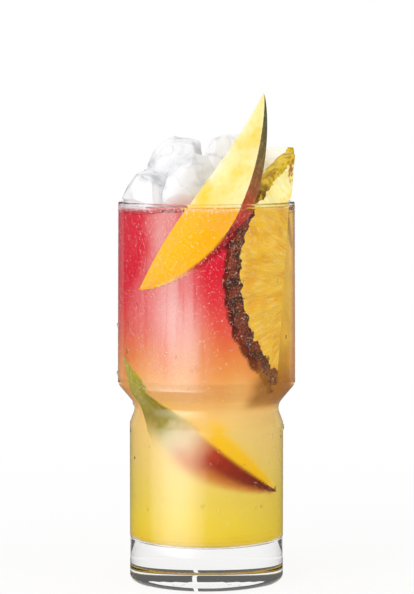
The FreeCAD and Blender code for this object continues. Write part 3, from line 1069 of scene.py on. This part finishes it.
def ice_piece(number, centre, edges, turns, taper, melt, cuts=38):
    """A melted block: a cube pulled towards a rounded box, chipped, tapered, dented and turned."""
    work = bmesh.new()
    bmesh.ops.create_cube(work, size=2.0)
    bmesh.ops.subdivide_edges(work, edges=work.edges, cuts=cuts, use_grid_fill=True)
    corner = 1 - melt
    yaw, pitch, roll = (math.radians(t) for t in turns)
    turn = Matrix.Rotation(yaw, 3, "Z") @ Matrix.Rotation(pitch, 3, "Y") @ Matrix.Rotation(roll, 3, "X")
    ways = np.random.default_rng(40 + number).normal(size=(CHIPS, 3))
    chips = [(Vector(w).normalized(), depth) for w, depth in zip(ways, np.linspace(0.84, 1.08, CHIPS))]
    seed = Vector((number * 7.3, 0, 0))
    shade_and_cracks = []
    for vert in work.verts:
        p = vert.co
        core = Vector([max(-corner, min(corner, c)) for c in p])
        p = core + (p - core).normalized() * (1 - corner) if (p - core).length > 1e-9 else p
        for way, depth in chips:
            p = p - way * max(0.0, p @ way - depth) * 0.75
        shrink = 1 - (1 - taper) * (p.z + 1) / 2
        body = Vector((p.x * shrink * edges[0], p.y * shrink * edges[1], p.z * edges[2])) * 0.5 * MM
        dent = noise.noise(body / (13 * MM) + seed) + 0.5 * noise.noise(body / (6 * MM) + seed)
        ridge = 1 - abs(2 * noise.noise(body / (8 * MM) - seed))
        # Soft grey clouds of painted shade, and thin dark cracks along the ridges.
        cloud = noise.noise(body / (7 * MM) + seed * 2) + 0.4 * noise.noise(body / (2.5 * MM) + seed)
        shade_and_cracks.append(smooth_step(-0.1, 0.8, cloud) * 0.75 + 0.35 * smooth_step(0.9, 1.0, ridge))
        place = turn @ (body * (1.03 + 0.07 * dent + 0.03 * ridge)) + Vector(centre) * MM
        inward = min(1.0, ice_reach(place.z) / math.hypot(place.x, place.y))
        vert.co = (place.x * inward, place.y * inward, place.z)
    piece = thing_from(f"ice_block_{number}", [], [], ICE_MATERIAL)
    work.to_mesh(piece.data)
    work.free()
    turn_outward(piece.data)
    store_colour(piece, "tint", blend(ICE_TINTS, np.clip(shade_and_cracks, 0, 1)))
    sunk = 1 - smooth_step(LEVEL - 1.0 * MM, LEVEL + 0.5 * MM, points_of(piece)[:, 2])
    store(piece, "fog", "FLOAT", 0.93 * sunk)
    hang(piece, "ice", f"ice_{number}")


for number, row in enumerate(ICE, 1):
    ice_piece(number, *row)

# %% [markdown]
# ## The cloudy core
# The core has the colour of the drink by height, stirred a little by noise. It stands close to the
# wall at the foot and further in above. What lies behind its surface shows through, weaker the deeper
# it lies. Rays go in from every point of the core, one along the sight and six in a narrow cone round
# it, and each brings back the tint it meets, as clearly as the fog at that point lets it.

# %% Core
SKIN_DEPTH = 4.5 * MM
core_top = LEVEL - 1.6 * MM
near_wall, far_in = inner_corners(0.5 * MM, 0.3 * MM), inner_corners(SKIN_DEPTH)
core_line = rounded(
    near_wall[:2]
    + [(near_wall[1][0] - 0.4 * MM, 24 * MM, 3 * MM), (far_in[1][0], 36 * MM, 10 * MM)]
    + far_in[2:]
    + [(wall_radius(core_top) - SKIN_DEPTH, core_top, 1.5 * MM), (0.0, core_top, 0.0)],
    step=1.0 * MM,
)


def core_shader():
    material, tree = new_material("cloudy_drink")
    place = object_place(tree)
    drift = maths(tree, "SUBTRACT", grained(tree, place, 60.0, 3.0, stretch=(1.0, 1.0, 0.35)), 0.5)
    plain = drink_at(tree, maths(tree, "MULTIPLY_ADD", drift, 18 * MM, height_of(tree)))
    # The stored melt value is a painted reflection: with these streaks it pales the drink towards a pinkish
    # white.
    runs = grained(tree, place, 230.0, 2.0, stretch=(1.0, 1.0, 0.07))
    share = maths(tree, "MULTIPLY", attribute(tree, "melt"), ranged(tree, runs, 0.66, 0.50, 0.45, 1.0))
    paler = tinted(tree, share, plain, (1.0, 0.86, 0.78, 1.0))
    seen = tinted(tree, attribute(tree, "near"), paler, attribute(tree, "tint", "Color"))
    sockets = {"Base Color": seen, "Roughness": 0.7, "IOR": 1.0}
    show(tree, first(tree, "ShaderNodeBsdfPrincipled", sockets))
    return material


core = lathe("drink_core", core_line, 260, core_shader())

# %% Looking in
SIGHT = Vector((0.0, 1.0, -0.14)).normalized()
SIGHT_DEPTH = 27 * MM
SIGHT_SPREAD = 0.035


def way_in(normal):
    """The way one looks into the drink: bent at the surface for an eye at the front, else straight."""
    facing = max(0.0, -normal.dot(SIGHT))
    inside = math.sqrt(1 - (1 - facing**2) / DRINK_IOR**2)
    bent = SIGHT / DRINK_IOR + normal * (facing / DRINK_IOR - inside)
    return (-normal).lerp(bent, float(smooth_step(0.0, 0.3, facing))).normalized()


def look_inside(core, pieces):
    """What shows through each point of the core: a tint, and how clearly, from 0 to 1."""
    points, faces = [], []
    for piece in pieces:
        start = len(points)
        points.extend(points_of(piece).tolist())
        faces.extend([tuple(start + v for v in f.vertices) for f in piece.data.polygons])
    tints = np.concatenate([stored(piece, "tint")[:, :3] for piece in pieces])
    fogs = np.concatenate([stored(piece, "fog")[:, 0] for piece in pieces])
    tree = BVHTree.FromPolygons(points, faces)
    cone = [(0.0, 0.0)]
    cone += [(math.cos(k * math.tau / 6), math.sin(k * math.tau / 6)) for k in range(6)]
    seen, nearness = [], []
    for place, vert in zip(points_of(core), core.data.vertices):
        ahead = way_in(vert.normal)
        start = Vector(place) - ahead * 0.3 * MM
        side = ahead.orthogonal().normalized()
        other = ahead.cross(side)
        total, colour = 0.0, np.zeros(3)
        for a, b in cone:
            way = (ahead + (side * a + other * b) * SIGHT_SPREAD).normalized()
            index = tree.ray_cast(start, way, SIGHT_DEPTH)[2]
            if index is not None:
                corners = list(faces[index])
                weight = 1 - fogs[corners].mean()
                total += weight
                colour += weight * tints[corners].mean(0)
        seen.append(colour / total if total > 0 else colour)
        nearness.append(total / len(cone))
    print(f"core: {len(nearness)} points looked in, {sum(n > 0.05 for n in nearness)} see something")
    return np.array(seen), np.array(nearness)


seen, near = look_inside(core, [mango_top, mango_low, pineapple_front, pineapple_back])

# %% [markdown]
# A paler cloud and a narrow column down the front left of the drink are a painted reflection: they pale the
# drink as a soft box mirrored in the glass does. The slice's own juice turns the drink golden along its
# straight cut, and under the slice the drink is painted darker, a painted shadow. Both follow a rule of
# bearing, height and distance.
# A bearing is in degrees from the front, and grows towards the right.

# %% Melt water and juice
# Height in mm and screen colour. The gold from 99 mm up comes from the slice's juices; the dark browns from
# 78 to 91 mm, under the slice, are painted shadow.
GOLDEN_AND_SHADOW = [
    (78, (196, 120, 40)),
    (84, (158, 98, 26)),
    (91, (168, 106, 28)),
    (99, (212, 152, 46)),
    (107, (224, 172, 56)),
    (125, (232, 184, 66)),
    (160, (240, 190, 84)),
]


def painted_reflection_share(places, bearing, z):
    """How much a painted reflection pales each point: a broad cloud at the left and a narrow column in it.
    """
    left = np.interp(z, [120, 145], [-92, -54]) + 5 * wander(places, 9 * MM, 23.0)
    broad = smooth_step(left, left + np.interp(z, [120, 145], [60, 16]), bearing)
    right_start, right_end = np.interp(z, [100, 130], [16, 2]), np.interp(z, [100, 130], [-14, -24])
    broad = broad * smooth_step(right_start, right_end, bearing)
    column = np.exp(-(((bearing - np.interp(z, [90, 120, 160], [-16, -20, -34])) / 13) ** 2))
    share = broad * np.interp(z, [84, 104, 118, 130, 165], [0.0, 0.10, 0.20, 0.24, 0.22])
    share += column * np.interp(z, [78, 90, 104, 122, 142, 165], [0.0, 0.12, 0.26, 0.24, 0.12, 0.10])
    return share * (1 + 0.45 * wander(places * np.array([1.0, 1.0, 0.3]), 6 * MM, 21.0))


def juice_and_shadow_share(places, bearing, z):
    """How much the drink near the flesh of the front pineapple slice takes the gold of its juices, and
    under the slice a painted shadow.
    """
    flesh = points_of(pineapple_front)[stored(pineapple_front, "edge")[:, 0] < -2 * MM]
    search = KDTree(len(flesh))
    for i, place in enumerate(flesh):
        search.insert(place, i)
    search.balance()
    gaps = np.array([search.find(place)[2] for place in places])
    start = np.interp(z, [90, 104], [30, 44])
    right = smooth_step(start, start + 16, bearing) * (1 - smooth_step(84, 112, bearing))
    return right * np.exp(-((gaps / (32 * MM)) ** 2)) * smooth_step(76, 84, z)


places = points_of(core)
bearing = np.degrees(np.arctan2(places[:, 0], -places[:, 1]))
z = places[:, 2] / MM
# The melt value stored here is the share of painted reflection on the drink.
store(core, "melt", "FLOAT", painted_reflection_share(places, bearing, z))
juice_and_shadow = juice_and_shadow_share(places, bearing, z)
threads = wander(places * np.array([1.0, 1.0, 0.25]), 3 * MM, 31.0)
# The slice's gold, with the painted shadow under it.
golden = blend(GOLDEN_AND_SHADOW, z) * (1 + 0.14 * threads + 0.16 * wander(places, 8 * MM, 32.0))[:, None]
store_colour(core, "tint", mix(seen, golden, juice_and_shadow / np.maximum(juice_and_shadow + near, 1e-6)))
store(core, "near", "FLOAT", np.maximum(near, juice_and_shadow))
hang(core, "drink", "drink")

# %% [markdown]
# ## Dew on the cold glass
# Cold glass sweats. Thousands of beads are the same shape at different sizes, so one Geometry Nodes
# tree sets a flattened dome on every point of a scatter. The scatter is drawn by a seeded rule: beads
# are densest at the front left, fine dew lies thick under the rim, and a few drops have grown large.

# %% Bead tree
SUNK = 0.06  # of a bead's radius, how far its flat underside reaches into the glass


def bead_tree():
    sockets = {"Places": "Geometry", "Segments": "Int", "Rings": "Int", "Height": "Float"}
    sockets["Material"] = "Material"
    tree, given, keys = new_group("beads", "GeometryNodeTree", sockets, {"Beads": "Geometry"})
    sockets = {"Segments": given["Segments"], "Rings": given["Rings"], "Radius": 1.0}
    ball = first(tree, "GeometryNodeMeshUVSphere", sockets)
    parts = add(tree, "ShaderNodeSeparateXYZ", {0: first(tree, "GeometryNodeInputPosition")}).outputs
    domed = maths(tree, "MULTIPLY_ADD", maths(tree, "MAXIMUM", parts["Z"], 0.0), given["Height"], -SUNK)
    spot = first(tree, "ShaderNodeCombineXYZ", {0: parts["X"], 1: parts["Y"], 2: domed})
    dome = first(tree, "GeometryNodeSetPosition", {"Geometry": ball, "Position": spot})
    way, size = [
        first(tree, "GeometryNodeInputNamedAttribute", {"Name": name}, data_type="FLOAT_VECTOR")
        for name in ("way", "size")
    ]
    upright = first(tree, "FunctionNodeAlignRotationToVector", {"Vector": way}, axis="Z")
    sockets = {"Rotation": upright, "Vector": (0.0, 0.0, 1.0)}
    turned = first(tree, "FunctionNodeAlignRotationToVector", sockets, axis="Y", pivot_axis="Z")
    points = first(tree, "GeometryNodeMeshToPoints", {0: given["Places"]})
    sockets = {"Points": points, "Instance": dome, "Rotation": turned, "Scale": size}
    finish_shape(tree, first(tree, "GeometryNodeInstanceOnPoints", sockets), given["Material"])
    return tree, keys


BEADS, BEADS_KEYS = bead_tree()


def beads(name, places, ways, sizes, material, segments, rings, height):
    """A dome at every place, standing along its way, with its size across, up and out."""
    piece = thing_from(name, places, [])
    store(piece, "way", "FLOAT_VECTOR", ways)
    store(piece, "size", "FLOAT_VECTOR", sizes)
    values = {"Segments": segments, "Rings": rings, "Height": height, "Material": material}
    run_group(piece, BEADS, BEADS_KEYS, values)
    hang(piece, "glass")


# %% Where the beads sit
outside = glass_line[np.argmax(glass_line[:, 1]) :]
outside = outside[(outside[:, 0] > 28 * MM) & (outside[:, 1] > 3 * MM)][::-1]
slope = np.gradient(outside[:, 0]) / np.maximum(np.gradient(outside[:, 1]), 1e-9)


def on_glass(bearing, z):
    """Place and outward way on the outside of the glass, at a bearing in degrees from the front."""
    r, lean = np.interp(z, outside[:, 1], outside[:, 0]), np.interp(z, outside[:, 1], slope)
    turn = np.radians(bearing)
    flat = np.stack([np.sin(turn), -np.cos(turn)], -1)
    place = np.concatenate([flat * r[:, None], z[:, None]], -1)
    way = np.concatenate([flat, -lean[:, None]], -1)
    return place, way / np.linalg.norm(way, axis=1)[:, None]


def dew_density(bearing, z):
    """How likely a bead is, from 0 to 1."""
    left = np.exp(-(((bearing + 28) / 26) ** 2))
    middle = np.exp(-(((bearing - 20) / 16) ** 2)) * smooth_step(100 * MM, 120 * MM, z)
    return 0.05 + smooth_step(70 * MM, 92 * MM, z) * (0.10 + 0.85 * left + 0.5 * middle)


# %% Fine dew
TRIES, FINE_BEADS = 50000, 8000
dew_material = clear_material("dew", 1.2, (1.0, 0.97, 0.96, 1.0), clarity=0.86)
chance = np.random.default_rng(7)
bearing = chance.uniform(-180, 180, TRIES)
z = chance.uniform(20 * MM, 164 * MM, TRIES)
kept = chance.random(TRIES) < dew_density(bearing, z)
bearing, z = bearing[kept][:FINE_BEADS], z[kept][:FINE_BEADS]
across = np.clip(np.exp(chance.normal(math.log(0.16), 0.36, len(z))), 0.09, 0.42) * MM
sizes = np.stack([across, across * chance.uniform(1.0, 1.35, len(z)), across], -1)
beads("dew_fine", *on_glass(bearing, z), sizes, dew_material, 6, 3, 0.5)

# %% Large drops and the frost under the rim
# Some large drops are scattered, and a few have places of their own: bearing and height in mm.
SCATTERED, FROSTED_FRONT, FROSTED_ROUND = 46, 900, 400
PLACED = [(-9.5, 96.5), (4.5, 66.5), (9.0, 61.5), (39.5, 36.0), (-88, 113.0), (-86.5, 92.0), (-6, 97.5)]
placed_bearing, placed_z = np.array(PLACED).T
bearing = np.concatenate([chance.uniform(-180, 180, SCATTERED), placed_bearing])
z = np.concatenate([chance.uniform(24 * MM, 160 * MM, SCATTERED), placed_z * MM])
sizes = chance.uniform(0.5, 0.9, len(z))[:, None] * np.array((1.0, 1.25, 1.0)) * MM
beads("dew_drops", *on_glass(bearing, z), sizes, clear_material("drops", WATER_IOR), 12, 6, 0.6)

front, everywhere = chance.uniform(-110, 16, FROSTED_FRONT), chance.uniform(-180, 180, FROSTED_ROUND)
bearing = np.concatenate([front, everywhere])
z = chance.normal(164.9, 0.7, len(bearing)).clip(161, 166.2) * MM
sizes = chance.uniform(0.09, 0.26, len(z))[:, None] * np.ones(3) * MM
beads("frost", *on_glass(bearing, z), sizes, dew_material, 6, 4, 0.6)

# %% [markdown]
# ## Studio
# A drink is shot from a long way off, so that its sides stay upright. The floor and the surround are
# white. A square key lamp stands at the front left, a weaker one at the right and a weak one overhead.


# %% Camera and lamps
def aim(thing, place, target):
    thing.location = place
    thing.rotation_euler = (Vector(target) - Vector(place)).to_track_quat("-Z", "Y").to_euler()


scene = bpy.context.scene
camera_data = bpy.data.cameras.new("camera")
camera = bpy.data.objects.new("camera", camera_data)
scene.collection.objects.link(camera)
camera_data.sensor_fit = "VERTICAL"
camera_data.sensor_height = 36.0
camera_data.lens = 157.9
CAMERA_X = 0.00022
aim(camera, (CAMERA_X, -1.142, 0.2135), (CAMERA_X, 0.0, 0.1253))
scene.camera = camera
scene.view_settings.view_transform = "Standard"


def lamp(name, place, size, watts):
    """A square lamp that isn't mirrored."""
    data = bpy.data.lights.new(name, "AREA")
    data.shape = "RECTANGLE"
    data.size, data.size_y, data.energy = size, size, watts
    thing = bpy.data.objects.new(name, data)
    scene.collection.objects.link(thing)
    aim(thing, place, (0.0, 0.0, 0.1))
    thing.visible_camera = False
    thing.visible_glossy = False


lamp("key", (-0.75, -0.75, 0.55), 0.9, 6.6)
lamp("fill", (0.9, -0.6, 0.35), 0.8, 3.8)
lamp("top", (0.0, 0.1, 1.1), 0.8, 2.0)

# %% [markdown]
# A curved soft box close to the glass shows in reflections alone, and draws the pale band down the
# drink. It fades towards its sides and its top. A small square one is the window in the upper barrel.


# %% Bright cards
def glow_material(name, strength):
    """Light whose strength fades with the card's own glow value."""
    material, tree = new_material(name)
    share = attribute(tree, "glow")
    power = maths(tree, "MULTIPLY", share, strength)
    glow = first(tree, "ShaderNodeEmission", {"Color": WHITE, "Strength": power})
    here = maths(tree, "MULTIPLY", share, 4.0, use_clamp=True)
    clear = first(tree, "ShaderNodeBsdfTransparent")
    mixed = first(tree, "ShaderNodeMixShader", {0: here, 1: clear, 2: glow})
    show(tree, mixed)
    return material


def sheet(name, bearings, profile, material):
    """A stage card: a profile of (radius, height) swept over bearings in degrees from the front.
    Only mirrored rays and rays through glass see it."""
    points, faces = [], []
    rows = len(profile)
    for bearing in bearings:
        turn = math.radians(bearing)
        points += [(r * math.sin(turn), -r * math.cos(turn), z) for r, z in profile]
    for i in range(len(bearings) - 1):
        for k in range(i * rows, (i + 1) * rows - 1):
            faces.append((k, k + rows, k + rows + 1, k + 1))
    thing = thing_from(name, points, faces, material)
    for kind in ("camera", "diffuse", "shadow", "volume_scatter"):
        setattr(thing, f"visible_{kind}", False)
    return thing


def upright(radius, heights):
    return [(radius, z) for z in heights]


BOX_RADIUS = 0.11
box_bearings = np.arange(-110, 19, 2.0)
box_heights = [0.001, 0.008, 0.03, 0.045, 0.06, 0.075, 0.088, 0.1, 0.115, 0.13, 0.16, 0.3]
soft_box = sheet("soft_box", box_bearings, upright(BOX_RADIUS, box_heights), glow_material("soft_box", 7.0))
low_bearings = [-110, -84, -65, -50, -35, -22, -9, 4, 16]
low_glow = np.interp(box_bearings, low_bearings, [0, 0.12, 0.42, 0.74, 0.86, 0.7, 0.34, 0.1, 0])
high_glow = np.interp(box_bearings, [-76, -70, -28, -12, 0], [0, 0.02, 0.03, 0.02, 0.0])
foot = np.interp(box_heights, [0.001, 0.008, 0.03], [0.3, 0.8, 1.0])
low_share = foot * np.interp(box_heights, [0.045, 0.075, 0.1, 0.13, 0.16], [1.0, 0.75, 0.4, 0.12, 0.0])
store(soft_box, "glow", "FLOAT", np.outer(low_glow, low_share) + np.outer(high_glow, 1 - low_share))

window_profile = upright(0.3, [0.185, 0.195, 0.275, 0.285])
window = sheet("window", np.arange(-64, -45, 2.0), window_profile, glow_material("window", 10.0))
store(window, "glow", "FLOAT", np.outer((0, 0.7, 1, 1, 1, 1, 1, 1, 0.7, 0), (0.0, 1.0, 1.0, 0.0)))

# %% [markdown]
# Clear glass needs something dark to mirror, or every edge turns pale. Dark flags stand round the
# table, as in a studio, with a gap at the back that leaves the backdrop. A dark mat in front and low
# cards behind draw the lines in the thick base.

# %% Dark cards
FLAG_RADIUS, SIDE_RADIUS, CARD_RADIUS = 0.62, 0.25, 0.12
flag_profile = upright(FLAG_RADIUS, [0.001, 0.75])
side_profile = upright(SIDE_RADIUS, [0.001, 0.045])
card_profile = upright(CARD_RADIUS, [0.001, 0.06])
dark, tree = new_material("flag")
show(tree, first(tree, "ShaderNodeEmission", {"Color": (0.12, 0.12, 0.12, 1), "Strength": 1.0}))
sheet("flags", np.linspace(-140, 140, 29), flag_profile, dark)
mirrored_only = [
    soft_box,
    window,
    sheet("flag_left", (-168, -154, -140), flag_profile, dark),
    sheet("flag_right", (140, 154, 168), flag_profile, dark),
]
for thing in mirrored_only:
    thing.visible_transmission = False
sheet("mat_front", np.linspace(-140, 140, 57), [(0.035, 0.0006), (FLAG_RADIUS, 0.0006)], dark)
sheet("low_side_left", (-170, -155, -138), side_profile, dark)
sheet("low_side_right", (138, 155, 170), side_profile, dark)
sheet("low_card_left", np.linspace(177.6, 240, 22), card_profile, dark)
sheet("low_card_right", np.linspace(120, 176.4, 22), card_profile, dark)

# %% [markdown]
# The floor is a white sheet. Seen directly it glows as white as the backdrop, so that no line shows
# where they meet, and near the glass a part of it stays matt and keeps the drink's shadow.

# %% Floor and surround
FLOOR = 6.0
floor_material, tree = new_material("floor")
matt = first(tree, "ShaderNodeBsdfDiffuse", {"Color": (0.92, 0.92, 0.92, 1)})
white = first(tree, "ShaderNodeEmission", {"Color": WHITE, "Strength": 1.0})
middle = add(tree, "ShaderNodeVectorMath", {0: object_place(tree)}, operation="LENGTH")
away = ranged(tree, middle.outputs["Value"], 0.08, 0.40, 0.84, 1.0)
share = maths(tree, "MULTIPLY", any_ray(tree, "Camera", "Transmission", "Glossy"), away)
show(tree, first(tree, "ShaderNodeMixShader", {0: share, 1: matt, 2: white}))
corners = [(-FLOOR, -FLOOR, 0), (FLOOR, -FLOOR, 0), (FLOOR, FLOOR, 0), (-FLOOR, FLOOR, 0)]
floor = thing_from("floor", corners, [(0, 1, 2, 3)], floor_material)

world = bpy.data.worlds.new("surround")
scene.world = world
world.use_nodes = True
tree = world.node_tree
tree.nodes.clear()
strength = ranged(tree, any_ray(tree, "Camera", "Transmission", "Glossy"), 0.0, 1.0, 0.6, 1.0)
sky = first(tree, "ShaderNodeBackground", {"Color": WHITE, "Strength": strength})
show(tree, sky, "ShaderNodeOutputWorld")
